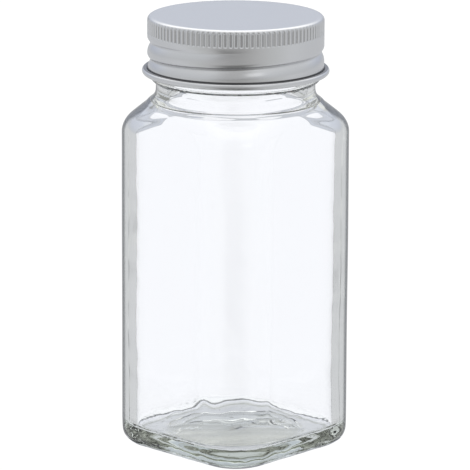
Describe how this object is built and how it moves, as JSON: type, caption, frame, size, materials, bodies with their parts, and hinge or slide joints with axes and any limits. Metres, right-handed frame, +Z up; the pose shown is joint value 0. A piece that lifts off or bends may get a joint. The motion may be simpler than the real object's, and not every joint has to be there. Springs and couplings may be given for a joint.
{
  "type": "spice jar",
  "caption": "Square clear-glass spice jar with rounded shoulders, a threaded neck, a shaker insert and a lined aluminium screw cap that unscrews and lifts off.",
  "frame": {"origin": "centre of the base, on the plane that the jar stands on", "axes": "+Z up along the neck and cap axis, X and Y square to the flat sides"},
  "size_m": [0.0466, 0.0466, 0.11],
  "materials": {
    "glass": "clear, smooth moulded glass",
    "cap_metal": "brushed satin, clear lacquer",
    "liner": "soft foam",
    "shaker_plastic": "smooth moulded"
  },
  "bodies": {
    "jar": {"jar_body": "glass", "sifter_insert": "shaker_plastic"},
    "seal": {"cap_liner": "liner"},
    "cap": {"screw_cap": "cap_metal"}
  },
  "joints": [
    {"name": "cap_rise", "type": "slide", "parent": "jar", "child": "seal", "axis": [0, 0, 1], "range_m": [0, 0.017]},
    {"name": "cap_turn", "type": "hinge", "parent": "seal", "child": "cap", "pos_m": [0, 0, 0.1], "axis": [0, 0, 1], "range_deg": [0, 1440]}
  ],
  "couplings": [
    {"joint": "cap_rise", "follows": "cap_turn", "m_per_rad": 0.0006737}
  ]
}
